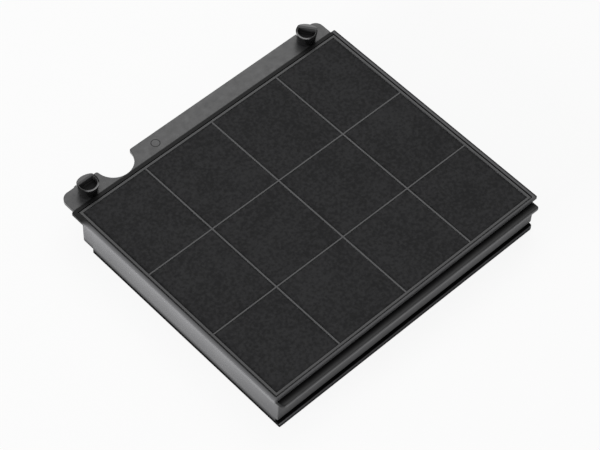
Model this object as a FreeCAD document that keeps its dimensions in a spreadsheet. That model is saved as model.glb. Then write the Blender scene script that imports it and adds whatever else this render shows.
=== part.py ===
import FreeCAD, Part
import math
import os
import Sketcher

# Cooker hood carbon filter: a flat black cassette of activated carbon, with a fleece behind a
# 4 by 3 grid on each face, a ledge at the front and a flange with two quarter-turn latches behind.
#
# Frame: X runs along the flange, Y from the front ledge to the flange, Z up. The origin lies on
# the surface that the cassette rests on, under the middle of the grid.

doc = FreeCAD.newDocument("CarbonFilter")

# Driving sizes, in millimetres and degrees
drivingSizes = [
    # Case
    ("caseWidth", 219.6, "outside of the two side walls"),
    ("caseBack", 88.4, "middle of the grid to the outside of the back wall"),
    ("caseFront", 90.4, "middle of the grid to the outside of the front neck"),
    ("caseTop", 29.0, "resting surface to the top of the rim"),
    ("wallThick", 1.6, "moulded wall"),
    ("cornerRadius", 3.0, "upright back corners of the case"),
    ("setBackDepth", 0.6, "how far the side walls step in near the flange"),
    ("setBackLength", 11.7, "length of that step, from the back wall"),
    ("floorThick", 1.6, "strip of floor between the cover below and the back wall"),
    # Front wall and ledge
    ("bulgeReach", 2.0, "front wall below the ledge, ahead of the neck"),
    ("frontRound", 0.8, "upright corners of the front wall"),
    ("ledgeReach", 6.1, "ledge ahead of the neck"),
    ("ledgeDrop", 4.0, "top of the rim down to the top of the ledge"),
    ("ledgeThick", 2.3, "ledge"),
    ("ledgeLeftCorner", 4.0, "left front corner of the ledge, in plan"),
    ("ledgeRightCorner", 1.4, "right front corner of the ledge, in plan"),
    ("ledgeRound", 0.9, "upper front edge of the ledge"),
    ("slotHeight", 2.9, "dark slot between the front wall and the lip below it"),
    # Rim
    ("rimSide", 2.7, "rim past the side walls"),
    ("rimFront", 1.2, "rim past the neck"),
    ("rimBack", 4.2, "rim past the back wall"),
    ("rimThick", 2.4, "rim plate"),
    ("rimCorner", 0.8, "corners of the rim, in plan"),
    ("rimRound", 0.5, "upper outer edge of the rim"),
    # Flange, finger notch and gussets
    ("flangeSide", 0.2, "flange past the side walls"),
    ("flangeReach", 18.9, "flange past the back wall"),
    ("flangeThick", 2.6, "flange plate"),
    ("flangeDrop", 1.2, "top of the rim down to the top of the flange"),
    ("flangeCorner", 6.0, "corners of the flange, in plan"),
    ("flangeRound", 0.4, "upper outer edge of the flange"),
    ("notchFromLatch", 26.9, "centre of the finger notch to the axis of the left latch"),
    ("notchRadius", 13.1, "finger notch"),
    ("notchLand", 1.1, "flange left between the rim and the notch"),
    ("notchRound", 1.5, "mouth of the notch"),
    ("gussetThick", 1.6, "gusset under the flange"),
    ("gussetReach", 12.0, "gusset along the flange"),
    ("gussetHeight", 9.0, "gusset down the back wall"),
    ("gussetMargin", 13.3, "outer gussets to the notch and to the sweep of the right tongue"),
    # Cells
    ("columnPitch", 55.9, "spacing of the ribs along X"),
    ("frontRibBack", 32.7, "front cross rib, ahead of the middle"),
    ("backRibBack", 25.5, "back cross rib, behind the middle"),
    ("cellWall", 1.2, "walls between the cells"),
    # Grille above
    ("seamWidth", 0.65, "dark parting line round the grille"),
    ("beadInset", 0.9, "outside of the bead, inside the outer face of the case"),
    ("beadWidth", 1.65, "border bead of the grille"),
    ("footHeight", 0.8, "foot of the border, under the seam"),
    ("footFit", 0.2, "foot of the border to the rim"),
    ("grilleThick", 1.8, "grille, foot to top"),
    ("ribWidth", 1.0, "ribs of the grille above"),
    ("ribDrop", 0.1, "top of the ribs, below the border"),
    # Fleeces
    ("fleeceThick", 1.2, "fleece under the ribs"),
    ("fleeceSeat", 0.6, "edge of each fleece on the wall round it"),
    ("fleeceFit", 0.1, "fleece to what stands round it"),
    ("padRise", 0.9, "fleece standing up between the ribs"),
    # Cover below
    ("coverThick", 3.2, "cover below the case"),
    ("coverLip", 3.9, "lip of the cover, ahead of the neck"),
    ("coverLeftCorner", 0.7, "left front corner of the lip, in plan"),
    ("coverRightCorner", 2.5, "right front corner of the lip, in plan"),
    ("coverRing", 2.0, "width of the seat round the cover's grid"),
    ("coverRib", 1.4, "width of the cover's ribs"),
    ("coverBevel", 0.4, "lower outer edge of the cover"),
    ("lipRound", 0.4, "upper front edge of the lip"),
    # Latches
    ("latchInset", 16.7, "latch axis, in from the end of the flange"),
    ("latchReach", 10.9, "latch axis behind the back wall"),
    ("shaftRadius", 3.5, "round shaft of the knob"),
    ("shaftFit", 0.05, "shaft in its bore, on the radius"),
    ("turnGap", 0.3, "gap between a turning face and a fixed one"),
    ("bossRadius", 6.4, "boss under the flange"),
    ("bossHeight", 3.6, "boss under the flange"),
    ("collarInner", 4.9, "inside of the stop collar under the boss"),
    ("collarHeight", 2.0, "stop collar under the boss"),
    ("knobFoot", 6.35, "radius of the knob at the flange"),
    ("knobRadius", 7.15, "radius of the knob at its rim"),
    ("knobHeight", 8.2, "knob, foot to rim"),
    ("knobWall", 1.1, "wall of the finger cup, at the rim"),
    ("knobBevel", 0.3, "lower edge of the knob"),
    ("cupDepth", 4.2, "depth of the finger cup"),
    ("cupBack", 2.1, "straight wall of the finger cup, from the axis"),
    ("crestRun", 1.3, "crest of the knob, from that wall"),
    ("crestRise", 0.7, "crest of the knob over its rim"),
    ("crestFall", 1.8, "slope behind the crest, down to the back of the rim"),
    ("squareSide", 4.8, "square end of the shaft"),
    ("armLength", 12.5, "tongue, axis to tip"),
    ("armWidth", 7.0, "tongue, across"),
    ("armThick", 2.5, "tongue"),
    ("armRound", 2.8, "corners at the tip of the tongue"),
    ("hubRadius", 4.6, "hub of the tongue"),
    ("leftTurn", 90.0, "turn of the left latch from lying along the flange"),
    ("rightTurn", 38.0, "turn of the right latch, measured the same way"),
    ("screwHead", 3.2, "radius of the latch screw's head"),
    ("screwHeadHeight", 1.8, "latch screw's head"),
    ("screwRadius", 1.45, "latch screw's shank"),
    ("screwLength", 8.0, "latch screw's shank"),
]


# A size known both as a number and as an expression on the sheet, so each formula is written once
class Size:
    def __init__(self, text, number):
        self.text = text
        self.number = number

    def __add__(self, other):
        other = asSize(other)
        return Size("(%s + %s)" % (self.text, other.text), self.number + other.number)

    def __sub__(self, other):
        other = asSize(other)
        return Size("(%s - %s)" % (self.text, other.text), self.number - other.number)

    def __mul__(self, other):
        other = asSize(other)
        return Size("(%s * %s)" % (self.text, other.text), self.number * other.number)

    def __truediv__(self, other):
        other = asSize(other)
        return Size("(%s / %s)" % (self.text, other.text), self.number / other.number)

    def __neg__(self):
        return Size("(-1 * %s)" % self.text, -self.number)


def asSize(value):
    if isinstance(value, Size):
        return value
    return Size(repr(float(value)), float(value))


def makeSheet(rows):
    sheet = doc.addObject("Spreadsheet::Sheet", "Sizes")
    named = {}
    for number, (name, value, note) in enumerate(rows, start=1):
        sheet.set("A%d" % number, name)
        sheet.set("B%d" % number, str(value))
        sheet.set("C%d" % number, note)
        sheet.setAlias("B%d" % number, name)
        named[name] = Size("Sizes.%s" % name, value)
    doc.recompute()
    return named


size = makeSheet(drivingSizes)

# Levels above the resting surface
coverTop = size["coverThick"]
caseTop = size["caseTop"]
rimUnder = caseTop - size["rimThick"]
ledgeTop = caseTop - size["ledgeDrop"]
ledgeUnder = ledgeTop - size["ledgeThick"]
slotTop = coverTop + size["slotHeight"]
grilleUnder = caseTop - size["grilleThick"]
cellTop = grilleUnder - size["fleeceThick"]
floorTop = coverTop + size["floorThick"]
flangeTop = caseTop - size["flangeDrop"]
flangeUnder = flangeTop - size["flangeThick"]
bossUnder = flangeUnder - size["bossHeight"]
collarUnder = bossUnder - size["collarHeight"]
armTop = bossUnder - size["turnGap"]
armUnder = armTop - size["armThick"]
coverFleeceUnder = coverTop - size["fleeceThick"]

# Places in plan
wallX = size["caseWidth"] / 2
cellX = wallX - size["wallThick"]
caseBack = size["caseBack"]
caseFront = -size["caseFront"]
cellFront = caseFront + size["wallThick"]
cellBack = caseBack - size["wallThick"]
bulgeFront = caseFront - size["bulgeReach"]
bulgeInside = bulgeFront + size["wallThick"]
bulgeTop = ledgeTop - size["wallThick"]
bulgeUnder = slotTop + size["wallThick"]
stepX = wallX - size["setBackDepth"]
stepY = caseBack - size["setBackLength"]
lowerBack = stepY - size["wallThick"]
rimX = wallX + size["rimSide"]
rimFront = caseFront - size["rimFront"]
rimBack = caseBack + size["rimBack"]
flangeX = wallX + size["flangeSide"]
flangeBack = caseBack + size["flangeReach"]
latchX = flangeX - size["latchInset"]
latchY = caseBack + size["latchReach"]
notchX = size["notchFromLatch"] - latchX
notchY = rimBack + size["notchLand"] + size["notchRadius"]
gussetLeft = notchX + size["notchRadius"] + size["gussetMargin"]
gussetRight = latchX - size["armLength"] - size["gussetMargin"]

# The grille's border stands the same distance inside the case at the front and at each side of the grid
beadFront = caseFront + size["beadInset"]
beadBack = -beadFront
beadX = wallX - size["beadInset"]
seatFront = beadFront - size["seamWidth"]
seatBack = beadBack + size["seamWidth"]
seatX = beadX + size["seamWidth"]
windowFront = beadFront + size["beadWidth"]
windowBack = beadBack - size["beadWidth"]
windowX = beadX - size["beadWidth"]
fleeceX = cellX + size["fleeceSeat"]
fleeceFront = cellFront - size["fleeceSeat"]
fleeceBack = seatBack - size["fleeceSeat"]

# The cover's grid sits inside a ring that carries the case
coverSeatX = cellX - size["fleeceFit"]
coverSeatFront = cellFront + size["fleeceFit"]
coverSeatBack = lowerBack - size["fleeceFit"]
coverWindowX = coverSeatX - size["coverRing"]
coverWindowFront = coverSeatFront + size["coverRing"]
coverWindowBack = coverSeatBack - size["coverRing"]
coverFront = caseFront - size["coverLip"]

columnRibs = [-size["columnPitch"], asSize(0), size["columnPitch"]]
rowRibs = [-size["frontRibBack"], size["backRibBack"]]


# Makes the gaps between ribs as (low, high) pairs, from one border to the other
def gapsBetween(low, high, ribs, ribWidth):
    edges = [low]
    for rib in ribs:
        edges.append(rib - ribWidth / 2)
        edges.append(rib + ribWidth / 2)
    edges.append(high)
    return list(zip(edges[0::2], edges[1::2]))


# Makes every cell of the grid as (left, right, front, back)
def gridCells(halfWidth, front, back, ribWidth):
    columns = gapsBetween(-halfWidth, halfWidth, columnRibs, ribWidth)
    rows = gapsBetween(front, back, rowRibs, ribWidth)
    cells = []
    for low, high in rows:
        for left, right in columns:
            cells.append((left, right, low, high))
    return cells


# Shrinks a cell on all sides
def inset(cell, margin):
    left, right, low, high = cell
    return (left + margin, right - margin, low + margin, high - margin)


def newBody(name):
    body = doc.addObject("PartDesign::Body", name)
    body.Label = name
    return body


# Makes a sketch on one of the body's own origin planes, raised to a level along the plane's normal
def newSketch(body, name, level=None, plane="XY_Plane"):
    sketch = body.newObject("Sketcher::SketchObject", name)
    support = [item for item in body.Origin.OriginFeatures if item.Role == plane][0]
    sketch.AttachmentSupport = [(support, "")]
    sketch.MapMode = "FlatFace"
    if level is not None:
        sketch.setExpression("AttachmentOffset.Base.z", asSize(level).text)
    return sketch


# Ties one coordinate of a sketch point to a size
def pin(sketch, kind, geometry, point, value):
    value = asSize(value)
    index = sketch.addConstraint(Sketcher.Constraint(kind, -1, 1, geometry, point, value.number))
    sketch.setExpression("Constraints[%d]" % index, value.text)


def addPolygon(sketch, points):
    corners = [(asSize(x), asSize(y)) for x, y in points]
    vectors = [FreeCAD.Vector(x.number, y.number, 0) for x, y in corners]
    first = sketch.GeometryCount
    count = len(corners)
    for index in range(count):
        sketch.addGeometry(Part.LineSegment(vectors[index], vectors[(index + 1) % count]), False)
    for index in range(count):
        following = first + (index + 1) % count
        sketch.addConstraint(Sketcher.Constraint("Coincident", first + index, 2, following, 1))
    for index, (x, y) in enumerate(corners):
        pin(sketch, "DistanceX", first + index, 1, x)
        pin(sketch, "DistanceY", first + index, 1, y)


def addRectangle(sketch, left, right, low, high):
    left = asSize(left)
    right = asSize(right)
    low = asSize(low)
    high = asSize(high)
    corners = [(left, low), (right, low), (right, high), (left, high)]
    vectors = [FreeCAD.Vector(x.number, y.number, 0) for x, y in corners]
    first = sketch.GeometryCount
    for index in range(4):
        sketch.addGeometry(Part.LineSegment(vectors[index], vectors[(index + 1) % 4]), False)
    for index in range(4):
        following = first + (index + 1) % 4
        sketch.addConstraint(Sketcher.Constraint("Coincident", first + index, 2, following, 1))
    for index in (0, 2):
        sketch.addConstraint(Sketcher.Constraint("Horizontal", first + index))
        sketch.addConstraint(Sketcher.Constraint("Vertical", first + index + 1))
    pin(sketch, "DistanceX", first, 1, left)
    pin(sketch, "DistanceY", first, 1, low)
    pin(sketch, "DistanceX", first + 2, 1, right)
    pin(sketch, "DistanceY", first + 2, 1, high)


def addCircle(sketch, x, y, radius):
    x = asSize(x)
    y = asSize(y)
    radius = asSize(radius)
    centre = FreeCAD.Vector(x.number, y.number, 0)
    circle = sketch.addGeometry(Part.Circle(centre, FreeCAD.Vector(0, 0, 1), radius.number), False)
    pin(sketch, "DistanceX", circle, 3, x)
    pin(sketch, "DistanceY", circle, 3, y)
    index = sketch.addConstraint(Sketcher.Constraint("Radius", circle, radius.number))
    sketch.setExpression("Constraints[%d]" % index, radius.text)


def addPad(body, sketch, length, midplane=False, down=False):
    pad = body.newObject("PartDesign::Pad", sketch.Name + "Pad")
    pad.Profile = sketch
    pad.setExpression("Length", asSize(length).text)
    pad.Midplane = midplane
    pad.Reversed = down
    sketch.Visibility = False
    return pad


# A circle cut off straight at a place along x, on the side away from the centre
def addCutCircle(sketch, cut, radius):
    cut = asSize(cut)
    radius = asSize(radius)
    half = math.acos(cut.number / radius.number)
    circle = Part.Circle(FreeCAD.Vector(0, 0, 0), FreeCAD.Vector(0, 0, 1), radius.number)
    arc = sketch.addGeometry(Part.ArcOfCircle(circle, half, 2 * math.pi - half), False)
    reach = radius.number * math.sin(half)
    ends = [FreeCAD.Vector(cut.number, -reach, 0), FreeCAD.Vector(cut.number, reach, 0)]
    chord = sketch.addGeometry(Part.LineSegment(*ends), False)
    sketch.addConstraint(Sketcher.Constraint("Coincident", arc, 2, chord, 1))
    sketch.addConstraint(Sketcher.Constraint("Coincident", chord, 2, arc, 1))
    sketch.addConstraint(Sketcher.Constraint("Vertical", chord))
    sketch.addConstraint(Sketcher.Constraint("Coincident", arc, 3, -1, 1))
    pin(sketch, "DistanceX", chord, 1, cut)
    index = sketch.addConstraint(Sketcher.Constraint("Radius", arc, radius.number))
    sketch.setExpression("Constraints[%d]" % index, radius.text)


# Cuts a sketch out of the body and stops if nothing was cut
def addPocket(body, sketch, depth, up=False, midplane=False):
    doc.recompute()
    before = body.Shape.Volume
    pocket = body.newObject("PartDesign::Pocket", sketch.Name + "Pocket")
    pocket.Profile = sketch
    pocket.setExpression("Length", asSize(depth).text)
    pocket.Reversed = up
    pocket.Midplane = midplane
    sketch.Visibility = False
    doc.recompute()
    if body.Shape.Volume >= before:
        raise RuntimeError("%s cut nothing" % pocket.Name)
    return pocket


# Rounds or bevels every edge of the body whose box passes a test
def dressEdges(body, kind, name, test, amount):
    doc.recompute()
    names = []
    for index, edge in enumerate(body.Shape.Edges, start=1):
        if test(edge.BoundBox):
            names.append("Edge%d" % index)
    if not names:
        raise RuntimeError("%s found no edge" % name)
    base = body.Tip
    feature = body.newObject("PartDesign::" + kind, name)
    feature.Base = (base, names)
    feature.setExpression("Radius" if kind == "Fillet" else "Size", asSize(amount).text)
    doc.recompute()
    return feature


def near(value, target):
    return abs(value - target.number) < 0.01


# True where an edge stands upright at a place in plan
def uprightAt(box, x, y):
    return near(box.XMin, x) and near(box.XMax, x) and near(box.YMin, y) and near(box.YMax, y)


# True where an edge stands upright at that place or at its mirror image across the middle
def uprightPair(box, x, y):
    return uprightAt(box, x, y) or uprightAt(box, -x, y)


# True where an edge lies flat at a level
def flatAt(box, level):
    return near(box.ZMin, level) and near(box.ZMax, level)


# Main moulding: case, ledge, rim, flange and cell walls
def makeFrame():
    body = newBody("filter_frame")

    # The case's section through the front wall, run from side to side
    section = newSketch(body, "caseSection", plane="YZ_Plane")
    addPolygon(section, [
        (caseBack, coverTop),
        (caseBack, rimUnder),
        (caseFront, rimUnder),
        (caseFront, ledgeUnder),
        (bulgeFront, ledgeUnder),
        (bulgeFront, slotTop),
        (caseFront, slotTop),
        (caseFront, coverTop),
    ])
    addPad(body, section, size["caseWidth"], midplane=True)
    dressEdges(body, "Fillet", "frontCorners",
               lambda box: uprightPair(box, wallX, bulgeFront),
               size["frontRound"])

    ledge = newSketch(body, "ledge", level=ledgeUnder)
    ledgeFront = caseFront - size["ledgeReach"]
    addRectangle(ledge, -wallX, wallX, ledgeFront, cellFront)
    addPad(body, ledge, size["ledgeThick"])
    dressEdges(body, "Fillet", "ledgeLeftCorner",
               lambda box: uprightAt(box, -wallX, ledgeFront),
               size["ledgeLeftCorner"])
    dressEdges(body, "Fillet", "ledgeRightCorner",
               lambda box: uprightAt(box, wallX, ledgeFront),
               size["ledgeRightCorner"])
    dressEdges(body, "Fillet", "ledgeEdge",
               lambda box: flatAt(box, ledgeTop) and box.YMax < bulgeFront.number,
               size["ledgeRound"])

    # Side walls step in beside the flange
    step = newSketch(body, "setBack", level=coverTop)
    for side in (-1, 1):
        outer = rimX * side
        inner = stepX * side
        left, right = (outer, inner) if side < 0 else (inner, outer)
        addRectangle(step, left, right, stepY, rimBack)
    addPocket(body, step, rimUnder - coverTop, up=True)
    dressEdges(body, "Fillet", "backCorners",
               lambda box: uprightPair(box, stepX, caseBack),
               size["cornerRadius"])

    flange = newSketch(body, "flange", level=flangeUnder)
    addRectangle(flange, -flangeX, flangeX, cellBack, flangeBack)
    addPad(body, flange, size["flangeThick"])
    dressEdges(body, "Fillet", "flangeCorners",
               lambda box: uprightPair(box, flangeX, flangeBack),
               size["flangeCorner"])

    rim = newSketch(body, "rim", level=rimUnder)
    addRectangle(rim, -rimX, rimX, rimFront, rimBack)
    addPad(body, rim, size["rimThick"])
    dressEdges(body, "Fillet", "rimCorners",
               lambda box: uprightPair(box, rimX, rimFront) or uprightPair(box, rimX, rimBack),
               size["rimCorner"])
    dressEdges(body, "Fillet", "rimEdge", lambda box: flatAt(box, caseTop), size["rimRound"])

    # Bosses and stop collars under the flange
    bosses = newSketch(body, "bosses", level=bossUnder)
    for side in (-1, 1):
        addCircle(bosses, latchX * side, latchY, size["bossRadius"])
    addPad(body, bosses, size["bossHeight"])
    collars = newSketch(body, "collars", level=collarUnder)
    for side in (-1, 1):
        addCircle(collars, latchX * side, latchY, size["bossRadius"])
        addCircle(collars, latchX * side, latchY, size["collarInner"])
    addPad(body, collars, size["collarHeight"])

    # Each collar is open over the quarter turn of its tongue
    openings = newSketch(body, "collarOpenings", level=collarUnder)
    free = size["armWidth"] / 2 + size["turnGap"]
    for side in (-1, 1):
        axis = latchX * side
        addRectangle(openings, axis - free, axis + size["armLength"],
                     latchY - free, latchY + size["armLength"])
    addPocket(body, openings, size["collarHeight"], up=True)

    # Gussets between the back wall and the flange, on the stretch between the notch and the right latch
    gussetPlaces = [gussetLeft, (gussetLeft + gussetRight) / 2, gussetRight]
    for number, place in enumerate(gussetPlaces, start=1):
        gusset = newSketch(body, "gusset%d" % number, level=place, plane="YZ_Plane")
        addPolygon(gusset, [
            (cellBack, flangeTop),
            (cellBack, flangeUnder - size["gussetHeight"]),
            (caseBack, flangeUnder - size["gussetHeight"]),
            (caseBack + size["gussetReach"], flangeUnder),
            (caseBack + size["gussetReach"], flangeTop),
        ])
        addPad(body, gusset, size["gussetThick"], midplane=True)

    notch = newSketch(body, "fingerNotch", level=flangeTop)
    addCircle(notch, notchX, notchY, size["notchRadius"])
    addPocket(body, notch, size["flangeThick"])
    middle = notchX.number
    dressEdges(body, "Fillet", "notchMouth",
               lambda box: near(box.YMin, flangeBack) and near(box.YMax, flangeBack)
               and box.ZLength > 0.01 and abs(box.XMin - middle) < size["notchRadius"].number,
               size["notchRound"])
    dressEdges(body, "Fillet", "flangeEdge",
               lambda box: flatAt(box, flangeTop) and box.YMax > rimBack.number + 0.01,
               size["flangeRound"])

    # Seat of the grille, then the seat of the fleece, then the cells
    seat = newSketch(body, "grilleSeat", level=caseTop)
    addRectangle(seat, -seatX, seatX, seatFront, seatBack)
    addPocket(body, seat, size["grilleThick"])
    fleeceSeat = newSketch(body, "fleeceSeat", level=grilleUnder)
    addRectangle(fleeceSeat, -fleeceX, fleeceX, fleeceFront, fleeceBack)
    addPocket(body, fleeceSeat, size["fleeceThick"])
    cells = newSketch(body, "cells", level=cellTop)
    for cell in gridCells(cellX, cellFront, cellBack, size["cellWall"]):
        addRectangle(cells, *cell)
    addPocket(body, cells, cellTop - floorTop)
    lower = newSketch(body, "lowerCells", level=coverTop)
    for cell in gridCells(cellX, cellFront, lowerBack, size["cellWall"]):
        addRectangle(lower, *cell)
    addPocket(body, lower, size["floorThick"], up=True)
    bulge = newSketch(body, "bulgeCells", level=bulgeUnder)
    for left, right in gapsBetween(-cellX, cellX, columnRibs, size["cellWall"]):
        addRectangle(bulge, left, right, bulgeInside, cellFront)
    addPocket(body, bulge, bulgeTop - bulgeUnder, up=True)

    bores = newSketch(body, "shaftBores", level=flangeTop)
    for side in (-1, 1):
        addCircle(bores, latchX * side, latchY, size["shaftRadius"] + size["shaftFit"])
    addPocket(body, bores, flangeTop - bossUnder)
    return body


# Grid above: a border with a foot that fits the rim, and ribs a little lower than the border
def makeTopGrille():
    body = newBody("top_grille")
    foot = newSketch(body, "foot", level=grilleUnder)
    footX = seatX - size["footFit"]
    addRectangle(foot, -footX, footX, seatFront + size["footFit"], seatBack - size["footFit"])
    addPad(body, foot, size["footHeight"])
    bead = newSketch(body, "bead", level=grilleUnder)
    addRectangle(bead, -beadX, beadX, beadFront, beadBack)
    addPad(body, bead, size["grilleThick"])
    field = newSketch(body, "ribField", level=caseTop)
    addRectangle(field, -windowX, windowX, windowFront, windowBack)
    addPocket(body, field, size["ribDrop"])
    windows = newSketch(body, "windows", level=caseTop)
    for cell in gridCells(windowX, windowFront, windowBack, size["ribWidth"]):
        addRectangle(windows, *cell)
    addPocket(body, windows, size["grilleThick"])
    return body


# Fleece above: one sheet that the ribs press down, so that it stands up in the windows
def makeTopFleece():
    body = newBody("top_fleece")
    sheet = newSketch(body, "sheet", level=cellTop)
    halfWidth = fleeceX - size["fleeceFit"]
    addRectangle(sheet, -halfWidth, halfWidth,
                 fleeceFront + size["fleeceFit"], fleeceBack - size["fleeceFit"])
    addPad(body, sheet, size["fleeceThick"])
    pads = newSketch(body, "pads", level=grilleUnder)
    for cell in gridCells(windowX, windowFront, windowBack, size["ribWidth"]):
        addRectangle(pads, *inset(cell, size["fleeceFit"]))
    addPad(body, pads, size["padRise"])
    return body


# Cover below: a ring under the case, a lip at the front, a seat for the fleece and a grid
def makeBottomFrame():
    body = newBody("bottom_frame")
    plate = newSketch(body, "plate")
    addRectangle(plate, -wallX, wallX, coverFront, stepY)
    addPad(body, plate, size["coverThick"])
    dressEdges(body, "Fillet", "lipLeftCorner",
               lambda box: uprightAt(box, -wallX, coverFront),
               size["coverLeftCorner"])
    dressEdges(body, "Fillet", "lipRightCorner",
               lambda box: uprightAt(box, wallX, coverFront),
               size["coverRightCorner"])
    dressEdges(body, "Chamfer", "lowerEdge", lambda box: flatAt(box, asSize(0)), size["coverBevel"])
    dressEdges(body, "Fillet", "lipEdge",
               lambda box: flatAt(box, coverTop) and box.YMax < caseFront.number,
               size["lipRound"])
    seat = newSketch(body, "fleeceSeat", level=coverTop)
    addRectangle(seat, -coverSeatX, coverSeatX, coverSeatFront, coverSeatBack)
    addPocket(body, seat, size["fleeceThick"])
    windows = newSketch(body, "windows", level=coverFleeceUnder)
    for cell in gridCells(coverWindowX, coverWindowFront, coverWindowBack, size["coverRib"]):
        addRectangle(windows, *cell)
    addPocket(body, windows, coverFleeceUnder)
    return body


def makeBottomFleece():
    body = newBody("bottom_fleece")
    sheet = newSketch(body, "sheet", level=coverFleeceUnder)
    halfWidth = coverSeatX - size["fleeceFit"]
    addRectangle(sheet, -halfWidth, halfWidth,
                 coverSeatFront + size["fleeceFit"], coverSeatBack - size["fleeceFit"])
    addPad(body, sheet, size["fleeceThick"])
    pads = newSketch(body, "pads", level=coverFleeceUnder)
    for cell in gridCells(coverWindowX, coverWindowFront, coverWindowBack, size["coverRib"]):
        addRectangle(pads, *inset(cell, size["fleeceFit"]))
    addPad(body, pads, size["padRise"], down=True)
    return body


# Carbon in one cell: its section from front to back follows the case, and it is run from wall to wall
def makeCarbonBed(row, column, left, right, low, high):
    body = newBody("carbon_bed_%d_%d" % (row, column))
    centre = (left + right) / 2
    section = newSketch(body, "section", level=centre, plane="YZ_Plane")
    points = [(high, cellTop), (low, cellTop)]
    if row == 1:
        points += [(low, bulgeTop), (bulgeInside, bulgeTop)]
        points += [(bulgeInside, bulgeUnder), (low, bulgeUnder)]
    points += [(low, coverTop)]
    if row == len(rowRibs) + 1:
        points += [(lowerBack, coverTop), (lowerBack, floorTop), (high, floorTop)]
    else:
        points += [(high, coverTop)]
    addPolygon(section, points)
    addPad(body, section, right - left, midplane=True)
    return body


def makeCarbonBeds():
    beds = []
    columns = gapsBetween(-cellX, cellX, columnRibs, size["cellWall"])
    rows = gapsBetween(cellFront, cellBack, rowRibs, size["cellWall"])
    for row, (low, high) in enumerate(rows, start=1):
        for column, (left, right) in enumerate(columns, start=1):
            beds.append(makeCarbonBed(row, column, left, right, low, high))
    return beds


# Places a latch piece on its axis, turned as it stands at rest
def placeLatch(body, side, turn):
    body.setExpression("Placement.Base.x", (latchX * side).text)
    body.setExpression("Placement.Base.y", latchY.text)
    body.Placement.Rotation = FreeCAD.Rotation(FreeCAD.Vector(0, 0, 1), turn.number)
    body.setExpression("Placement.Rotation.Angle", turn.text)


# Knob: a turned grip on a round shaft, cut to a crest that slopes away behind, with a finger cup
# before the crest and a square end for the tongue
def makeKnob(name, side, turn):
    body = newBody(name)
    knobUnder = flangeTop + size["turnGap"]
    knobTop = knobUnder + size["knobHeight"]
    crestTop = knobTop + size["crestRise"]
    section = newSketch(body, "section", plane="XZ_Plane")
    addPolygon(section, [
        (asSize(0), armTop),
        (size["shaftRadius"], armTop),
        (size["shaftRadius"], knobUnder),
        (size["knobFoot"] - size["knobBevel"], knobUnder),
        (size["knobFoot"], knobUnder + size["knobBevel"]),
        (size["knobRadius"], knobTop),
        (size["knobRadius"], crestTop),
        (asSize(0), crestTop),
    ])
    turned = body.newObject("PartDesign::Revolution", "sectionRevolution")
    turned.Profile = section
    turned.ReferenceAxis = (section, ["V_Axis"])
    turned.Angle = 360
    section.Visibility = False

    # Everything above the rim, the crest and the slope behind it is cut away across the knob
    crest = newSketch(body, "crest", plane="XZ_Plane")
    crestX = size["cupBack"] + size["crestRun"]
    outside = size["knobRadius"] * 2
    addPolygon(crest, [
        (-outside, knobTop),
        (size["cupBack"], knobTop),
        (size["cupBack"] + size["crestRun"] * 0.4, knobTop + size["crestRise"] * 0.65),
        (crestX, crestTop),
        (outside - crestX, crestTop - size["crestFall"] * 2),
        (outside, crestTop - size["crestFall"] * 2),
        (outside, crestTop + 1),
        (-outside, crestTop + 1),
    ])
    addPocket(body, crest, outside * 2, midplane=True)
    cup = newSketch(body, "fingerCup", level=crestTop)
    addCutCircle(cup, size["cupBack"], size["knobRadius"] - size["knobWall"])
    addPocket(body, cup, size["crestRise"] + size["cupDepth"])

    square = newSketch(body, "square", level=armTop)
    halfSquare = size["squareSide"] / 2
    addRectangle(square, -halfSquare, halfSquare, -halfSquare, halfSquare)
    addPad(body, square, size["armThick"], down=True)
    pilot = newSketch(body, "pilot", level=armUnder)
    addCircle(pilot, 0, 0, size["screwRadius"])
    addPocket(body, pilot, size["screwLength"], up=True)
    placeLatch(body, side, turn)
    return body


# Tongue: a hub with a square hole and an arm that swings under the flange
def makeTongue(name, side, turn):
    body = newBody(name)
    hub = newSketch(body, "hub", level=armUnder)
    addCircle(hub, 0, 0, size["hubRadius"])
    addPad(body, hub, size["armThick"])
    arm = newSketch(body, "arm", level=armUnder)
    halfWidth = size["armWidth"] / 2
    addRectangle(arm, 0, size["armLength"], -halfWidth, halfWidth)
    addPad(body, arm, size["armThick"])
    tip = size["armLength"]
    dressEdges(body, "Fillet", "tipCorners",
               lambda box: uprightAt(box, tip, halfWidth) or uprightAt(box, tip, -halfWidth),
               size["armRound"])
    hole = newSketch(body, "squareHole", level=armTop)
    halfSquare = size["squareSide"] / 2 + size["shaftFit"]
    addRectangle(hole, -halfSquare, halfSquare, -halfSquare, halfSquare)
    addPocket(body, hole, size["armThick"])
    placeLatch(body, side, turn)
    return body


# Screw: a pan head under the tongue and a shank up the shaft
def makeScrew(name, side, turn):
    body = newBody(name)
    head = newSketch(body, "head", level=armUnder)
    addCircle(head, 0, 0, size["screwHead"])
    addPad(body, head, size["screwHeadHeight"], down=True)
    shank = newSketch(body, "shank", level=armUnder)
    addCircle(shank, 0, 0, size["screwRadius"])
    addPad(body, shank, size["screwLength"])
    placeLatch(body, side, turn)
    return body


def makeLatches():
    pieces = []
    for side, word in ((-1, "left"), (1, "right")):
        turn = size[word + "Turn"]
        pieces.append(makeKnob("latch_knob_" + word, side, turn))
        pieces.append(makeTongue("latch_tongue_" + word, side, turn))
        pieces.append(makeScrew("latch_screw_" + word, side, turn))
    return pieces


# Stops before anything is written if an object failed or a piece has no sound solid
def checkAll(pieces):
    doc.recompute()
    for item in doc.Objects:
        if "Invalid" in item.State or "Error" in item.State:
            raise RuntimeError("%s failed: %s" % (item.Name, item.State))
    for piece in pieces:
        if piece.Shape.isNull() or not piece.Shape.isValid():
            raise RuntimeError("%s has no valid shape" % piece.Label)


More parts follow.
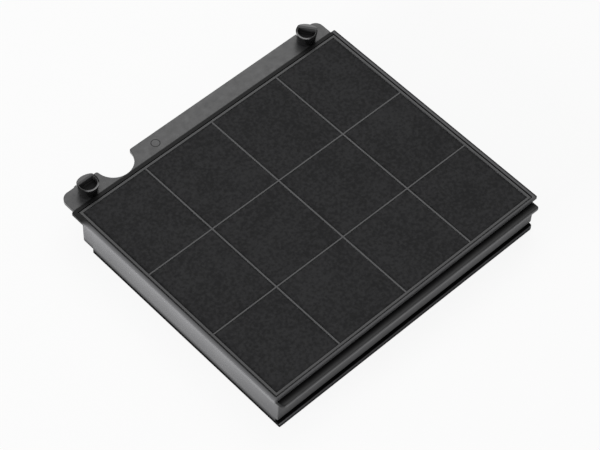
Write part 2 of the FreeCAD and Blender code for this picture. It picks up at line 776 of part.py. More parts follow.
pieces = [makeFrame(), makeTopGrille(), makeTopFleece(), makeBottomFrame(), makeBottomFleece()]
pieces += makeCarbonBeds()
pieces += makeLatches()
checkAll(pieces)

os.makedirs("parts", exist_ok=True)
for piece in pieces:
    piece.Shape.exportStep(os.path.join("parts", piece.Label + ".step"))
    print("%-20s %9.1f mm3" % (piece.Label, piece.Shape.Volume))
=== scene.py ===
import math
import bmesh
import bpy
from mathutils import Euler, Matrix, Vector, noise


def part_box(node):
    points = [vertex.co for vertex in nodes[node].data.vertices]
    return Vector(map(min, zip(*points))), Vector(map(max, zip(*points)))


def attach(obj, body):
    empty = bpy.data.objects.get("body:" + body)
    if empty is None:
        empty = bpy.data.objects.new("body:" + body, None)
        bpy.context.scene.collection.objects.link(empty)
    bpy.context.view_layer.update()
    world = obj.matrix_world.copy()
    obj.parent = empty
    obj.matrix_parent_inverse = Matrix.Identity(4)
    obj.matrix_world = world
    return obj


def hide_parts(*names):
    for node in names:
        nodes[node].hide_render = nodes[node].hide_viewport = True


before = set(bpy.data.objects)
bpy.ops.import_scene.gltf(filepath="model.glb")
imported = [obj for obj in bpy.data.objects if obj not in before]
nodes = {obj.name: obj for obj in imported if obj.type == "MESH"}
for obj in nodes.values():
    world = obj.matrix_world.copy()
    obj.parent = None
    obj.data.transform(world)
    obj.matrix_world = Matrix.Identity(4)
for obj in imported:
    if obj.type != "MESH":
        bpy.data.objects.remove(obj)        # every solid of the cassette at rest, in metres
bpy.context.view_layer.update()
scene = bpy.context.scene
print("cassette loaded, %d solids" % len(nodes))

mm = 0.001


# Camera, where the photographer stood: turn in degrees, lens and sensor in millimetres
cameraFacts = {
    "place": (-0.60134, -0.57838, 1.15242),
    "turn": (36.0335, -1.9228, -43.2383),
    "lens": 135.0,
    "sensor": 36.0,
    "nearest": 0.01,
}


def makeCamera(facts):
    data = bpy.data.cameras.new("productCamera")
    data.lens = facts["lens"]
    data.sensor_width = facts["sensor"]
    data.clip_start = facts["nearest"]
    camera = bpy.data.objects.new("productCamera", data)
    camera.location = facts["place"]
    camera.rotation_euler = Euler([math.radians(angle) for angle in facts["turn"]], "XYZ")
    scene.collection.objects.link(camera)
    scene.camera = camera


makeCamera(cameraFacts)
scene.view_settings.view_transform = "Standard"
print("camera set")


# A grey with a faint blue tint
def grey(level, tint=1.03):
    return (level, level, level * tint, 1.0)


# Where a colour is asked for, a plain number means a grey
def asColour(shade):
    return grey(shade) if isinstance(shade, (int, float)) else shade


# A value inside a material or the sky, so that shader maths reads as plain sums
class Value:
    def __init__(self, graph, socket):
        self.graph = graph
        self.socket = socket

    def maths(self, operation, other, turned=False):
        pair = {0: other, 1: self} if turned else {0: self, 1: other}
        return self.graph.node("ShaderNodeMath", {"operation": operation}, pair)

    def __add__(self, other):
        return self.maths("ADD", other)

    def __radd__(self, other):
        return self.maths("ADD", other)

    def __sub__(self, other):
        return self.maths("SUBTRACT", other)

    def __rsub__(self, other):
        return self.maths("SUBTRACT", other, turned=True)

    def __mul__(self, other):
        return self.maths("MULTIPLY", other)

    def __rmul__(self, other):
        return self.maths("MULTIPLY", other)

    def __truediv__(self, other):
        return self.maths("DIVIDE", other)

    def __abs__(self):
        return self.graph.node("ShaderNodeMath", {"operation": "ABSOLUTE"}, {0: self})

    def most(self, other):
        return self.maths("MAXIMUM", other)


# The nodes of one material or of the sky
class Graph:
    def __init__(self, tree):
        self.tree = tree

    def feed(self, socket, value):
        if isinstance(value, Value):
            self.tree.links.new(value.socket, socket)
        else:
            socket.default_value = value

    # Adds any node: its settings first, then what its sockets hold or are linked to
    def node(self, kind, settings=None, sockets=None, output=0):
        made = self.tree.nodes.new(kind)
        for name, value in (settings or {}).items():
            setattr(made, name, value)
        for name, value in (sockets or {}).items():
            self.feed(made.inputs[name], value)
        return Value(self, made.outputs[output])

    # 1 on rays that show a surface, 0 on those that only carry its light to the part
    def seenShare(self):
        kinds = ("Is Camera Ray", "Is Glossy Ray", "Is Transmission Ray")
        direct, mirrored, clear = [self.node("ShaderNodeLightPath", output=kind) for kind in kinds]
        return direct.most(mirrored).most(clear)


# One material: a Principled shader and the nodes that feed it
class Finish(Graph):
    def __init__(self, name, colour, roughness, specular=0.5):
        self.material = bpy.data.materials.new(name)
        self.material.use_nodes = True
        super().__init__(self.material.node_tree)
        self.shader = self.tree.nodes["Principled BSDF"]
        self.set("Base Color", asColour(colour))
        self.set("Roughness", roughness)
        self.set("Specular IOR Level", specular)
        self.place = self.node("ShaderNodeTexCoord", output="Object")
        parts = self.node("ShaderNodeSeparateXYZ", {}, {0: self.place}).socket.node
        self.x, self.y, self.z = [Value(self, socket) for socket in parts.outputs]

    def set(self, name, value):
        self.feed(self.shader.inputs[name], value)

    # 0 at low, 1 at high, and a soft step between. Low may be the larger one
    def step(self, value, low, high):
        sockets = {"Value": value, "From Min": low, "From Max": high}
        return self.node("ShaderNodeMapRange", {"interpolation_type": "SMOOTHSTEP"}, sockets)

    def grain(self, perMetre, detail=2.0, roughness=0.5):
        sockets = {"Vector": self.place, "Scale": perMetre, "Detail": detail, "Roughness": roughness}
        return self.node("ShaderNodeTexNoise", {}, sockets)

    def mix(self, factor, first, second):
        sockets = {0: factor, 6: asColour(first), 7: asColour(second)}
        return self.node("ShaderNodeMix", {"data_type": "RGBA"}, sockets, 2)

    # Lays coats over a shade, each where its mask is 1
    def layers(self, shade, *coats):
        for mask, coat in coats:
            shade = self.mix(mask, shade, coat)
        return shade

    # Faint clouds in a moulded skin: they darken the shade and vary the roughness
    def clouded(self, shade, facts):
        cloud = self.grain(facts["cloudsPerMetre"], detail=3)
        self.set("Roughness", facts["roughness"] + (cloud - 0.5) * facts["cloudRoughness"])
        return self.mix(cloud * facts["cloudDark"], shade, 0.0)

    def bump(self, height, distance, strength=1.0):
        sockets = {"Height": height, "Distance": distance, "Strength": strength}
        self.set("Normal", self.node("ShaderNodeBump", {}, sockets))


# Case: black moulded plastic; the flange and the ledge are glossier. The walls are paler, partly as a
# satin skin and partly as painted light, and darker towards the foot and the front end as painted
# shade. The rim carries painted light and painted highlights on its left, front and right tops and
# painted shade on its right outer edge, so it is darkest beside the flange. The front wall is darker
# low down and towards the left, and the ledge top and the flange's edge beside the rim are dark, all as
# painted shade; the ledge's front face is paler as painted light. Each pair of places says where a
# tone starts and where it is full. Depths are taken from the top, insets from the cover's side
caseFinish = {
    "rim": 0.004,
    "rimLeftPaintedLight": 0.118,
    "rimLeftEdgePaintedHighlight": 0.2,
    "rimFront": 0.09,
    "rimRightPaintedHighlight": 0.105,
    "rimRightEdgePaintedShade": 0.015,
    "wallFootPaintedShade": 0.012,
    "wallLowPaintedShade": 0.10,
    "wall": 0.149,
    "wallFrontEndPaintedShade": 0.3,
    "frontLowPaintedShade": 0.082,
    "front": 0.14,
    "frontLeftPaintedShade": 0.35,
    "ledge": 0.004,
    "ledgeFront": 0.08,
    "flange": 0.028,
    "flangeGloss": 0.74,
    "ledgeGloss": 0.46,
    "glossRoughness": 0.36,
    "roughness": 0.42,
    "specular": 0.1,
    "cloudsPerMetre": 38,
    "cloudDark": 0.16,
    "cloudRoughness": 0.12,
    "smudgeSize": 5.5 * mm,
    "smudgeLeast": 0.45,
    "smudgeSpan": 1.1,
    "grainSize": 0.35 * mm,
    "grainDepth": 0.02 * mm,
    "mark": 0.004,
    "markPlace": (-37.4 * mm, 100.0 * mm),
    "markDepth": 1.2 * mm,
    "markRadius": 2.9 * mm,
    "markLine": (0.168 * mm, 0.42 * mm),
    "markDark": 0.9,
    "markDull": 0.8,
    "markSunk": 2,
    "places": {
        "underRim": (2.45 * mm, 2.55 * mm),
        "ledgeDepth": (6.45 * mm, 6.35 * mm),
        "ledgeEnd": (-95.9 * mm, -96.3 * mm),
        "ledgeGloss": (-93.2 * mm, -97.0 * mm),
        "sideWall": (0.75 * mm, 0.65 * mm),
        "wallFootPaintedShade": (2.8 * mm, 7.8 * mm),
        "wallRise": (7 * mm, 24 * mm),
        "wallFrontEndPaintedShade": (-40 * mm, -100 * mm),
        "front": (-89.3 * mm, -89.6 * mm),
        "frontRise": (6 * mm, 14 * mm),
        "frontLeftPaintedShade": (90 * mm, -130 * mm),
        "flange": (93.0 * mm, 94.0 * mm),
        "left": (-109.6 * mm, -110.2 * mm),
        "leftEnd": (84 * mm, 74 * mm),
        "leftEdge": (-110.4 * mm, -111.9 * mm),
        "leftSide": (-112.25 * mm, -112.45 * mm),
        "right": (109.6 * mm, 110.2 * mm),
        "rightEdge": (110.9 * mm, 111.6 * mm),
    },
}


def makeCaseFinish(name, facts):
    finish = Finish(name, facts["rim"], facts["roughness"], facts["specular"])
    at = facts["places"]
    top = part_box("filter_frame")[1].z
    depth = top - finish.z
    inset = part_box("bottom_frame")[1].x - abs(finish.x)
    below = finish.step(depth, *at["underRim"])
    ahead = finish.step(finish.y, *at["front"])
    ledge = ahead * below * finish.step(depth, *at["ledgeDepth"])
    flange = finish.step(finish.y, *at["flange"])
    left = finish.step(finish.x, *at["left"]) * finish.step(finish.y, *at["leftEnd"])

    # Painted shade: the walls darken towards the foot and towards the front end
    wall = finish.layers(
        facts["wallFootPaintedShade"],
        (finish.step(finish.z, *at["wallFootPaintedShade"]), facts["wallLowPaintedShade"]),
        (finish.step(finish.z, *at["wallRise"]), facts["wall"]),
        (finish.step(finish.y, *at["wallFrontEndPaintedShade"]) * facts["wallFrontEndPaintedShade"], 0.0),
    )
    # Painted shade: the front wall darkens low down under the ledge and towards the left
    front = finish.layers(
        facts["frontLowPaintedShade"],
        (finish.step(finish.z, *at["frontRise"]), facts["front"]),
        (finish.step(finish.x, *at["frontLeftPaintedShade"]) * facts["frontLeftPaintedShade"], 0.0),
    )
    # The ledge top stays dark as painted shade under the rim, its front face is paler as painted light
    ledgeEnd = finish.step(finish.y, *at["ledgeEnd"])
    # Painted light and painted highlights on the rim's left, front and right tops, painted shade on its
    # right outer edge
    shade = finish.layers(
        facts["rim"],
        (ahead, facts["rimFront"]),
        (finish.step(finish.x, *at["right"]), facts["rimRightPaintedHighlight"]),
        (finish.step(finish.x, *at["rightEdge"]), facts["rimRightEdgePaintedShade"]),
        (left, facts["rimLeftPaintedLight"]),
        (left * finish.step(finish.x, *at["leftEdge"]), facts["rimLeftEdgePaintedHighlight"]),
        (left * finish.step(finish.x, *at["leftSide"]), facts["wall"]),
        (ahead * below, front),
        (finish.step(inset, *at["sideWall"]) * below, wall),
        (ledge, finish.mix(ledgeEnd, facts["ledge"], facts["ledgeFront"])),
        # The flange's tone starts behind the rim's foot, leaving painted shade there
        (flange, facts["flange"]),
    )

    # A thin plain ring on the flange, beside the finger notch
    centre = (*facts["markPlace"], top - facts["markDepth"])
    ends = {0: finish.place, 1: centre}
    away = finish.node("ShaderNodeVectorMath", {"operation": "DISTANCE"}, ends, "Value")
    line = 1 - finish.step(abs(away - facts["markRadius"]), *facts["markLine"])
    shade = finish.mix(line * facts["markDark"], finish.clouded(shade, facts), facts["mark"])
    finish.set("Base Color", shade)

    smudges = finish.grain(1 / facts["smudgeSize"], detail=4, roughness=0.65)
    smudged = facts["smudgeLeast"] + smudges * facts["smudgeSpan"]
    flangeGloss = flange * facts["flangeGloss"] * (1 - line * facts["markDull"]) * smudged
    ledgeGloss = ledge * finish.step(finish.y, *at["ledgeGloss"]) * facts["ledgeGloss"]
    finish.set("Coat Weight", ledgeGloss.most(flangeGloss))
    finish.set("Coat Roughness", facts["glossRoughness"])
    skin = finish.grain(1 / facts["grainSize"])
    finish.bump(skin * 0.5 - line * facts["markSunk"], facts["grainDepth"], strength=0.6)
    return finish.material


# Cover below: a dull black moulding, a little paler at the bottom. The front of its lip is paler as
# painted light, with a painted highlight along its top front edge, and its top is darker as painted
# shade. The places of the top are depths from it, those of the lip are measured back from its front
coverFinish = {
    "side": 0.005,
    "top": 0.003,
    "lip": 0.045,
    "lipTop": 0.15,
    "face": 0.03,
    "roughness": 0.7,
    "specular": 0.012,
    "cloudsPerMetre": 45,
    "cloudDark": 0.2,
    "cloudRoughness": 0.1,
    "grainSize": 0.4 * mm,
    "grainDepth": 0.015 * mm,
    "places": {
        "face": (0.3 * mm, 0.05 * mm),
        "top": (0.4 * mm, 0.1 * mm),
        "lip": (0.3 * mm, 0.1 * mm),
        "lipTop": (1.1 * mm, 0.4 * mm),
    },
}


def makeCoverFinish(name, facts):
    finish = Finish(name, facts["side"], facts["roughness"], facts["specular"])
    at = facts["places"]
    low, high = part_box("bottom_frame")
    behind = finish.y - low.y
    upper = finish.step(high.z - finish.z, *at["top"])
    # Painted shade on the top, painted light on the lip's front and a painted highlight on its top edge
    shade = finish.layers(
        facts["side"],
        (upper, facts["top"]),
        (finish.step(behind, *at["lip"]), facts["lip"]),
        (finish.step(behind, *at["lipTop"]) * upper, facts["lipTop"]),
        (finish.step(finish.z, *at["face"]), facts["face"]),
    )
    finish.set("Base Color", finish.clouded(shade, facts))
    finish.bump(finish.grain(1 / facts["grainSize"]), facts["grainDepth"], strength=0.5)
    return finish.material


# Grille: the same plastic, moulded thin. The ribs' flanks below the crest are pale as painted light,
# and a strip outside the bead on the left and at the front is dark as painted shade. Window is half
# the opening inside the bead, lit the width of the bead before that painted shade, at the sides and at
# the ends
grilleFinish = {
    "rib": 0.042,
    "bead": 0.027,
    "beadOuterPaintedShade": 0.004,
    # Side is the painted light on the ribs' flanks below the crest
    "side": 0.15,
    "crest": (0.5 * mm, 0.15 * mm),
    "window": (107.1 * mm, 87.7 * mm),
    "lit": (1.65 * mm, 1.4025 * mm),
    "soft": 0.22 * mm,
    "roughness": 0.4,
    "specular": 0.35,
    "cloudsPerMetre": 60,
    "cloudDark": 0.2,
    "cloudRoughness": 0.1,
    "grainSize": 0.4 * mm,
    "grainDepth": 0.012 * mm,
}


def makeGrilleFinish(name, facts):
    finish = Finish(name, facts["rib"], facts["roughness"], facts["specular"])
    soft = facts["soft"]
    beads = []
    outerShades = []
    for place, window, lit in zip((finish.x, finish.y), facts["window"], facts["lit"]):
        beads.append(finish.step(abs(place), window - soft, window + soft))
        outerShades.append(finish.step(place, soft - window - lit, -soft - window - lit))
    crest = finish.step(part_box("top_grille")[1].z - finish.z, *facts["crest"])
    # Painted light on the ribs' flanks, painted shade outside the bead on the left and at the front
    face = finish.layers(
        facts["rib"],
        (beads[0].most(beads[1]), facts["bead"]),
        (outerShades[0].most(outerShades[1]), facts["beadOuterPaintedShade"]),
    )
    finish.set("Base Color", finish.clouded(finish.mix(crest, facts["side"], face), facts))
    finish.bump(finish.grain(1 / facts["grainSize"]), facts["grainDepth"], strength=0.5)
    return finish.material


# Fleece: black needled felt, short fibres lying every way
fleeceFinish = {
    "pale": 0.0355,
    "dark": 0.022,
    "roughness": 0.95,
    "specular": 0.04,
    "fibreSize": 0.22 * mm,
    "tuftSize": 2.1 * mm,
    "patchesPerMetre": 40,
    "patchShare": 0.3,
    "tuftShare": 0.85,
    "contrast": (0.34, 0.66),
    "depth": 0.12 * mm,
}


def makeFleeceFinish(name, facts):
    finish = Finish(name, facts["pale"], facts["roughness"], facts["specular"])
    tufts = finish.grain(1 / facts["tuftSize"], detail=3, roughness=0.55)
    fibres = finish.grain(1 / facts["fibreSize"], detail=3, roughness=0.7)
    patches = (finish.grain(facts["patchesPerMetre"]) - 0.5) * facts["patchShare"]
    felt = tufts * facts["tuftShare"] + fibres * (1 - facts["tuftShare"])
    mottle = finish.step(felt + patches, *facts["contrast"])
    finish.set("Base Color", finish.mix(mottle, facts["dark"], facts["pale"]))
    finish.bump(tufts * 0.7 + fibres * 0.3, facts["depth"], strength=0.8)
    return finish.material


# Carbon: loose black grains, packed into the cells
carbonFinish = {
    "pale": 0.03,
    "dark": 0.006,
    "roughness": 0.55,
    "wear": 0.3,
    "grainSize": 1.8 * mm,
    "gap": 0.18,
    "depth": 0.5 * mm,
}


def makeCarbonFinish(name, facts):
    finish = Finish(name, facts["dark"], facts["roughness"])
    cells = {"Vector": finish.place, "Scale": 1 / facts["grainSize"]}
    tone = finish.node("ShaderNodeTexVoronoi", {"feature": "F1"}, cells, "Color")
    level = finish.node("ShaderNodeSeparateColor", {}, {0: tone})
    gap = finish.node("ShaderNodeTexVoronoi", {"feature": "DISTANCE_TO_EDGE"}, cells)
    body = finish.step(gap, 0.0, facts["gap"])
    finish.set("Base Color", finish.mix(level * body, facts["dark"], facts["pale"]))
    finish.set("Roughness", facts["roughness"] + level * facts["wear"])
    finish.bump(body, facts["depth"])
    return finish.material


# Handled acetal: smears vary the roughness and specks of dust pale the colour. Specks are the levels
# of a noise between which they show
acetalWear = {
    "smearsPerMetre": 220,
    "smearDepth": 0.03 * mm,
    "dust": 0.25,
    "dustPale": 2.5,
    "specks": (0.62, 0.75),
}


def smearedAcetal(finish, colour, dustSize, wear):
    smears = finish.grain(wear["smearsPerMetre"], detail=3)
    specks = finish.step(finish.grain(1 / dustSize, detail=3, roughness=0.7), *wear["specks"])
    shade = finish.mix(specks * wear["dust"], colour, colour * wear["dustPale"])
    finish.bump(smears, wear["smearDepth"], strength=0.35)
    return shade, smears


# Knobs: black acetal, polished in the mould, with a dull finger cup. The land behind the crest and the
# cup's back wall are paler as painted light, the rim's colour is a painted highlight on the part of the
# rim turned away from the land, and the rest of the rim has no coat. Turns are the way that each land
# lies at rest, and the second turns are how far the rim's painted highlight is turned from the land's
# opposite side, both in degrees. Places are measured past the cup's back wall, outward from its round
# wall, or down from the rim's top
knobFinish = {
    "colour": 0.004,
    "landPaintedLight": 0.04,
    "rim": 0.055,
    "cup": 0.022,
    "cupWallPaintedLight": 0.06,
    "roughness": 0.2,
    "cupRoughness": 0.4,
    "specular": 0.05,
    "gloss": 0.12,
    "wear": 0.10,
    "dustSize": 1.1 * mm,
    "turns": {"latch_knob_left": 90.0, "latch_knob_right": 38.0},
    "wearAndHighlight": {"latch_knob_left": 0.0, "latch_knob_right": -22.0},
    "inside": 6.05 * mm,
    "cupBack": 2.1 * mm,
    "crest": 0.7 * mm,
    "highlightFacing": (-0.5, -0.88),
    "places": {
        "cupBack": (0.15 * mm, 0.02 * mm),
        "cupRound": (0.15 * mm, 0.05 * mm),
        "cupDepth": (0.05 * mm, 0.45 * mm),
        "cupWallPaintedLight": (-1.2 * mm, -0.1 * mm),
        "rimRound": (0.05 * mm, 0.3 * mm),
        "rimDepth": (0.45 * mm, 0.15 * mm),
        "landDepth": (1.5 * mm, 1.1 * mm),
    },
}


def makeKnobFinish(name, node, facts):
    finish = Finish(name, facts["colour"], facts["roughness"], facts["specular"])
    finish.set("Coat Roughness", facts["gloss"])
    at = facts["places"]
    axis = sum(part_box(node.replace("knob", "screw")), Vector((0, 0, 0))) / 2
    x = finish.x - axis.x
    y = finish.y - axis.y

    def along(degrees):
        return x * math.cos(math.radians(degrees)) + y * math.sin(math.radians(degrees))

    turn = facts["turns"][node]
    away = finish.node("ShaderNodeMath", {"operation": "SQRT"}, {0: x * x + y * y})
    past = along(turn) - facts["cupBack"]
    outward = away - facts["inside"]
    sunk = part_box(node)[1].z - facts["crest"] - finish.z
    ahead = finish.step(past, *at["cupBack"])
    cup = ahead * finish.step(outward, *at["cupRound"]) * finish.step(sunk, *at["cupDepth"])
    # Painted light on the cup's back wall
    cupWallPaintedLight = cup * finish.step(past, *at["cupWallPaintedLight"])
    rim = ahead * finish.step(outward, *at["rimRound"]) * finish.step(sunk, *at["rimDepth"])
    # Painted highlight on the part of the rim turned away from the land
    paintedRimHighlight = rim * finish.step(along(turn + facts["wearAndHighlight"][node]) / away, *facts["highlightFacing"])
    # Painted light on the land behind the crest
    landPaintedLight = (1 - ahead) * finish.step(sunk, *at["landDepth"])
    shade, smears = smearedAcetal(finish, facts["colour"], facts["dustSize"], acetalWear)
    scuffed = 0.5 + smears * 0.5
    finish.set("Base Color", finish.layers(
        shade,
        (landPaintedLight, facts["landPaintedLight"]),
        (cup * scuffed, facts["cup"]),
        (cupWallPaintedLight * scuffed, facts["cupWallPaintedLight"]),
        (paintedRimHighlight, facts["rim"]),
    ))
    # Rougher with smears and in the cup
    wearAndHighlight = (smears - 0.5) * facts["wear"] + cup * facts["cupRoughness"]
    finish.set("Roughness", facts["roughness"] + wearAndHighlight)
    finish.set("Coat Weight", 1 - cup.most(rim - paintedRimHighlight))
    return finish.material


# Tongues: the same acetal, duller
tongueFinish = {
    "colour": 0.014,
    "roughness": 0.34,
    "wear": 0.12,
    "dustSize": 0.9 * mm,
}


def makeTongueFinish(name, facts):
    finish = Finish(name, facts["colour"], facts["roughness"])
    shade, smears = smearedAcetal(finish, facts["colour"], facts["dustSize"], acetalWear)
    finish.set("Base Color", shade)
    finish.set("Roughness", facts["roughness"] + (smears - 0.5) * facts["wear"])
    return finish.material


# Screws: zinc plated steel with faint blotches
screwFinish = {
    "pale": grey(0.56, 1.04),
    "dark": grey(0.40, 1.0),
    "roughness": 0.32,
    "wear": 0.25,
    "blotchesPerMetre": 900,
    "grainsPerMetre": 6000,
    "grainDepth": 0.01 * mm,
}


def makeScrewFinish(name, facts):
    finish = Finish(name, facts["pale"], facts["roughness"])
    finish.set("Metallic", 1.0)
    blotches = finish.grain(facts["blotchesPerMetre"], detail=3)
    finish.set("Base Color", finish.mix(blotches, facts["dark"], facts["pale"]))
    finish.set("Roughness", facts["roughness"] + (blotches - 0.5) * facts["wear"])
    finish.bump(finish.grain(facts["grainsPerMetre"]), facts["grainDepth"], strength=0.4)
    return finish.material


materials = {
    "case_plastic": makeCaseFinish("casePlastic", caseFinish),
    "grille_plastic": makeGrilleFinish("grillePlastic", grilleFinish),
    "fleece": makeFleeceFinish("needledFleece", fleeceFinish),
    "carbon": makeCarbonFinish("carbonGrains", carbonFinish),
    "tongue_plastic": makeTongueFinish("tongueAcetal", tongueFinish),
    "screw_steel": makeScrewFinish("zincSteel", screwFinish),
}
ownMaterials = {"bottom_frame": makeCoverFinish("coverPlastic", coverFinish)}
for name in knobFinish["turns"]:
    ownMaterials[name] = makeKnobFinish("acetal_" + name, name, knobFinish)
for name, solid in nodes.items():
    for slot in solid.material_slots:
        slot.material = ownMaterials.get(name) or materials[slot.material.name]
print("materials made")


def addPiece(name, mesh, slot, body):
    piece = bpy.data.objects.new(name, mesh)
    scene.collection.objects.link(piece)
    mesh.materials.append(materials[slot])
    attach(piece, body)
    return piece


def meshFrom(name, work):
    bmesh.ops.recalc_face_normals(work, faces=work.faces[:])
    for face in work.faces:
        face.smooth = True
    mesh = bpy.data.meshes.new(name)
    work.to_mesh(mesh)
    work.free()
    return mesh


def roundEdges(solid, name, width, angle):
    rounds = solid.modifiers.new(name, "BEVEL")
    rounds.width = width * mm
    rounds.segments = 2
    rounds.limit_method = "ANGLE"
    rounds.angle_limit = math.radians(angle)


# Both rise from 0 to 1 over width: ease starts and ends softly, bulge leaves steeply, like a cushion
def ease(value, width):
    part = min(max(value / width, 0.0), 1.0)
    return part * part * (3 - 2 * part)


def bulge(value, width):
    part = 1 - min(max(value / width, 0.0), 1.0)
    return math.sqrt(1 - part * part)


# Ribs stand midway between neighbouring beds of carbon
def ribPlace(first, second, axis):
    return (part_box(first)[1][axis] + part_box(second)[0][axis]) / 2


columnRibs = [ribPlace("carbon_bed_2_%d" % n, "carbon_bed_2_%d" % (n + 1), 0) for n in (1, 2, 3)]
rowRibs = [ribPlace("carbon_bed_%d_2" % n, "carbon_bed_%d_2" % (n + 1), 1) for n in (1, 2)]


# Fleeces: one sheet each, pressed down by the ribs and full between them. All in millimetres: window
# is the grid's opening, flat, pressed and field are heights of the hidden side, of the part under the
# ribs and of the part between them
topFleeceFacts = {
    "name": "topFleece",
    "node": "top_fleece",
    "window": (-107.25, 107.25, -87.85, 87.85),
    "rib": 1.0,
    "flat": 26.02,
    "pressed": 27.14,
    "field": 28.6,
    "crown": 0.15,
}
bottomFleeceFacts = {
    "name": "bottomFleece",
    "node": "bottom_fleece",
    "window": (-106.1, 106.1, -86.7, 73.0),
    "rib": 1.4,
    "flat": 3.18,
    "pressed": 2.06,
    "field": 0.5,
    "crown": -0.15,
}
fleeceShape = {
    "cell": 1.5,
    "steps": (0.0, 0.015, 0.05, 0.1, 0.16),
    "edge": 0.16,
    "spread": 14.0,
    "ripple": 0.09,
    "rippleSize": 9.0,
    "rippleEdge": 3.0,
}


def makeFleece(facts, shape):
    low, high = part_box(facts["node"])
    spanX = high.x - low.x
    spanY = high.y - low.y
    work = bmesh.new()
    middle = Matrix.Translation(((low.x + high.x) / 2, (low.y + high.y) / 2, 0))
    bmesh.ops.create_grid(work, x_segments=round(spanX / (shape["cell"] * mm)),
                          y_segments=round(spanY / (shape["cell"] * mm)), size=0.5,
                          matrix=middle @ Matrix.Diagonal((spanX, spanY, 1, 1)))

    # Rows of vertices close to every edge of the grid, so that the sheet can turn down sharply there
    left, right, front, back = [value * mm for value in facts["window"]]
    half = facts["rib"] * mm / 2
    edges = [(0, left, 1), (0, right, -1), (1, front, 1), (1, back, -1)]
    edges += [(0, rib + half * side, side) for rib in columnRibs for side in (-1, 1)]
    edges += [(1, rib + half * side, side) for rib in rowRibs for side in (-1, 1)]
    for axis, place, side in edges:
        for step in shape["steps"]:
            point = Vector((0, 0, 0))
            point[axis] = place + side * step * mm
            normal = Vector((0, 0, 0))
            normal[axis] = 1
            bmesh.ops.bisect_plane(work, geom=work.verts[:] + work.edges[:] + work.faces[:],
                                   dist=1e-6, plane_co=point, plane_no=normal)

    hidden = bmesh.ops.extrude_face_region(work, geom=work.faces[:])
    hiddenVerts = {item for item in hidden["geom"] if isinstance(item, bmesh.types.BMVert)}
    rise = facts["field"] - facts["pressed"]
    for vert in work.verts:
        if vert in hiddenVerts:
            vert.co.z = facts["flat"] * mm
            continue
        x, y = vert.co.x, vert.co.y
        inX = min([x - left, right - x] + [abs(x - rib) - half for rib in columnRibs]) / mm
        inY = min([y - front, back - y] + [abs(y - rib) - half for rib in rowRibs]) / mm
        inside = min(inX, inY)
        spot = Vector((x, y, 0)) / (shape["rippleSize"] * mm)
        wave = noise.fractal(spot, 1.0, 2.0, 3) * shape["ripple"]
        level = facts["pressed"] + rise * bulge(inside, shape["edge"])
        level += facts["crown"] * ease(inside, shape["spread"]) + wave * ease(inside, shape["rippleEdge"])
        vert.co.z = level * mm
    piece = addPiece(facts["name"], meshFrom(facts["name"], work), "fleece", "cassette")
    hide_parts(facts["node"])
    return piece


fleeces = [makeFleece(facts, fleeceShape) for facts in (topFleeceFacts, bottomFleeceFacts)]
print("fleeces made, %d faces in all" % sum(len(fleece.data.polygons) for fleece in fleeces))


# Latch screws: a domed head with a cross recess, and a plain shank in the knob. In millimetres, the
# dome as radius and height from the head's face, turns and angle in degrees
screwShape = {
    "dome": [(1.5, 0.0), (2.75, 0.35), (3.12, 0.95), (3.2, 1.35)],
    "headHeight": 1.8,
    "shank": 1.4,
    "point": 0.5,
    "recess": 1.1,
    "slot": 0.75,
    "reach": 3.6,
    "taper": 0.55,
    "sides": 40,
    "softEdge": 0.06,
    "softAngle": 40,
    "turns": {"left": 31, "right": 74},
}


def turnedScrew(name, under, tip, shape):
    seat = under + shape["headHeight"]
    shank = shape["shank"]
    outline = [(0, under)] + [(radius, under + height) for radius, height in shape["dome"]]
    outline += [(outline[-1][0], seat), (shank, seat), (shank, tip - shape["point"]),
                (shank - shape["point"], tip), (0, tip)]
    work = bmesh.new()
    points = [work.verts.new((x * mm, 0, z * mm)) for x, z in outline]
    lines = [work.edges.new(pair) for pair in zip(points, points[1:])]
    bmesh.ops.spin(work, geom=points + lines, cent=(0, 0, 0), axis=(0, 0, 1),
                   angle=math.tau, steps=shape["sides"], use_merge=True)
    bmesh.ops.remove_doubles(work, verts=work.verts[:], dist=1e-7)
    return bpy.data.objects.new(name, meshFrom(name, work))


# Two crossed bars that narrow as they go in
def crossCutter(name, under, shape):
    work = bmesh.new()
    for quarter in (0, 90):
        made = bmesh.ops.create_cube(work, size=1.0)["verts"]
        size = Matrix.Diagonal((shape["reach"] * mm, shape["slot"] * mm, 2 * shape["recess"] * mm, 1))
        turned = Matrix.Rotation(math.radians(quarter), 4, "Z")
        bmesh.ops.transform(work, matrix=turned @ size, verts=made)
        for vert in made:
            if vert.co.z > 0:
                vert.co.x *= shape["taper"]
                vert.co.y *= shape["taper"]
            vert.co.z += under * mm
    return bpy.data.objects.new(name, meshFrom(name, work))


def makeScrew(side, shape):
    name = side + "LatchScrew"
    node = "latch_screw_" + side
    low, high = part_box(node)
    blank = turnedScrew(name + "Blank", low.z / mm, high.z / mm, shape)
    cutter = crossCutter(name + "Cutter", low.z / mm, shape)
    for helper in (blank, cutter):
        scene.collection.objects.link(helper)
    cut = blank.modifiers.new("crossRecess", "BOOLEAN")
    cut.object = cutter
    cut.solver = "EXACT"
    cut.use_self = True
    bpy.context.view_layer.update()
    shaped = blank.evaluated_get(bpy.context.evaluated_depsgraph_get())
    mesh = bpy.data.meshes.new_from_object(shaped)
    mesh.name = name
    for helper in (blank, cutter):
        bpy.data.objects.remove(helper)
    centre = Vector(((low.x + high.x) / 2, (low.y + high.y) / 2, 0))
    turn = math.radians(shape["turns"][side])
    mesh.transform(Matrix.Translation(centre) @ Matrix.Rotation(turn, 4, "Z"))
    mesh.materials.clear()
    piece = addPiece(name, mesh, "screw_steel", "latch_" + side)
    roundEdges(piece, "softEdges", shape["softEdge"], shape["softAngle"])
    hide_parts(node)


for side in screwShape["turns"]:
    makeScrew(side, screwShape)
print("latch screws made")


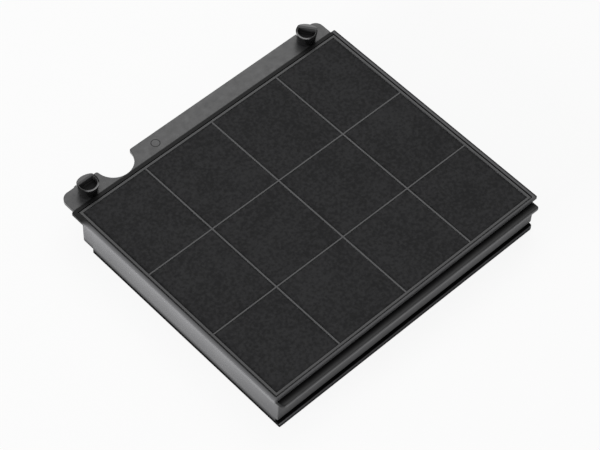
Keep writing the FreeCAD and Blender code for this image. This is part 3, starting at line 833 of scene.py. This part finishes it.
# Small rounds on the mould's edges: the solids keep their meshes, only modifiers are added. Weld
# and widths in millimetres, angle in degrees
edgeRounds = {
    "weld": 0.002,
    "angle": 38,
    "widths": {
        "filter_frame": 0.22,
        "bottom_frame": 0.2,
        "top_grille": 0.22,
        "latch_knob_left": 0.35,
        "latch_knob_right": 0.35,
        "latch_tongue_left": 0.15,
        "latch_tongue_right": 0.15,
    },
}
for name, width in edgeRounds["widths"].items():
    weld = nodes[name].modifiers.new("joinTriangles", "WELD")
    weld.merge_threshold = edgeRounds["weld"] * mm
    roundEdges(nodes[name], "edgeRounds", width, edgeRounds["angle"])
print("edges rounded")


# Studio: a pale floor, an even sky and soft lamps, each with its place, width in metres and watts
studio = {
    "sky": 0.4,
    "floor": 0.8,
    "floorRoughness": 0.9,
    "floorGlow": 0.9,
    "floorReach": 4,
    "floorDrop": 0.02 * mm,
    "lamps": [
        ("leftSoftbox", (-3.0, 0.17, 0.463), 1.2, 138),
        ("backSoftbox", (0.67, 0.66, 1.3), 1.2, 9),
    ],
}
white = (1, 1, 1, 1)


# The floor glows evenly where it is seen, so that it stays as pale as the photo's
def makeFloor(facts):
    work = bmesh.new()
    bmesh.ops.create_grid(work, x_segments=4, y_segments=4, size=facts["floorReach"])
    mesh = meshFrom("floor", work)
    mesh.transform(Matrix.Translation((0, 0, -facts["floorDrop"])))
    finish = Finish("paleFloor", grey(facts["floor"], 1.0), facts["floorRoughness"], specular=0.0)
    glow = finish.node("ShaderNodeEmission", {}, {"Color": white, "Strength": 1.0})
    lit = Value(finish, finish.shader.outputs[0])
    share = finish.seenShare() * facts["floorGlow"]
    both = finish.node("ShaderNodeMixShader", {}, {0: share, 1: lit, 2: glow})
    finish.feed(finish.tree.nodes["Material Output"].inputs["Surface"], both)
    mesh.materials.append(finish.material)
    floor = bpy.data.objects.new("floor", mesh)
    scene.collection.objects.link(floor)


# The sky is white where it is seen and dimmer as a light
def makeSky(facts):
    world = bpy.data.worlds.new("evenSky")
    scene.world = world
    world.use_nodes = True
    sky = Graph(world.node_tree)
    background = sky.tree.nodes["Background"]
    dimming = {"Value": sky.seenShare(), "To Min": facts["sky"], "To Max": 1.0}
    sky.feed(background.inputs["Color"], white)
    sky.feed(background.inputs["Strength"], sky.node("ShaderNodeMapRange", {}, dimming))


def makeLamps(facts):
    for name, place, width, power in facts["lamps"]:
        data = bpy.data.lights.new(name, "AREA")
        data.shape = "SQUARE"
        data.size = width
        data.energy = power
        lamp = bpy.data.objects.new(name, data)
        lamp.location = place
        lamp.rotation_euler = (-Vector(place)).to_track_quat("-Z", "Y").to_euler()
        scene.collection.objects.link(lamp)


makeFloor(studio)
makeSky(studio)
makeLamps(studio)
print("studio lit")

bpy.context.view_layer.update()
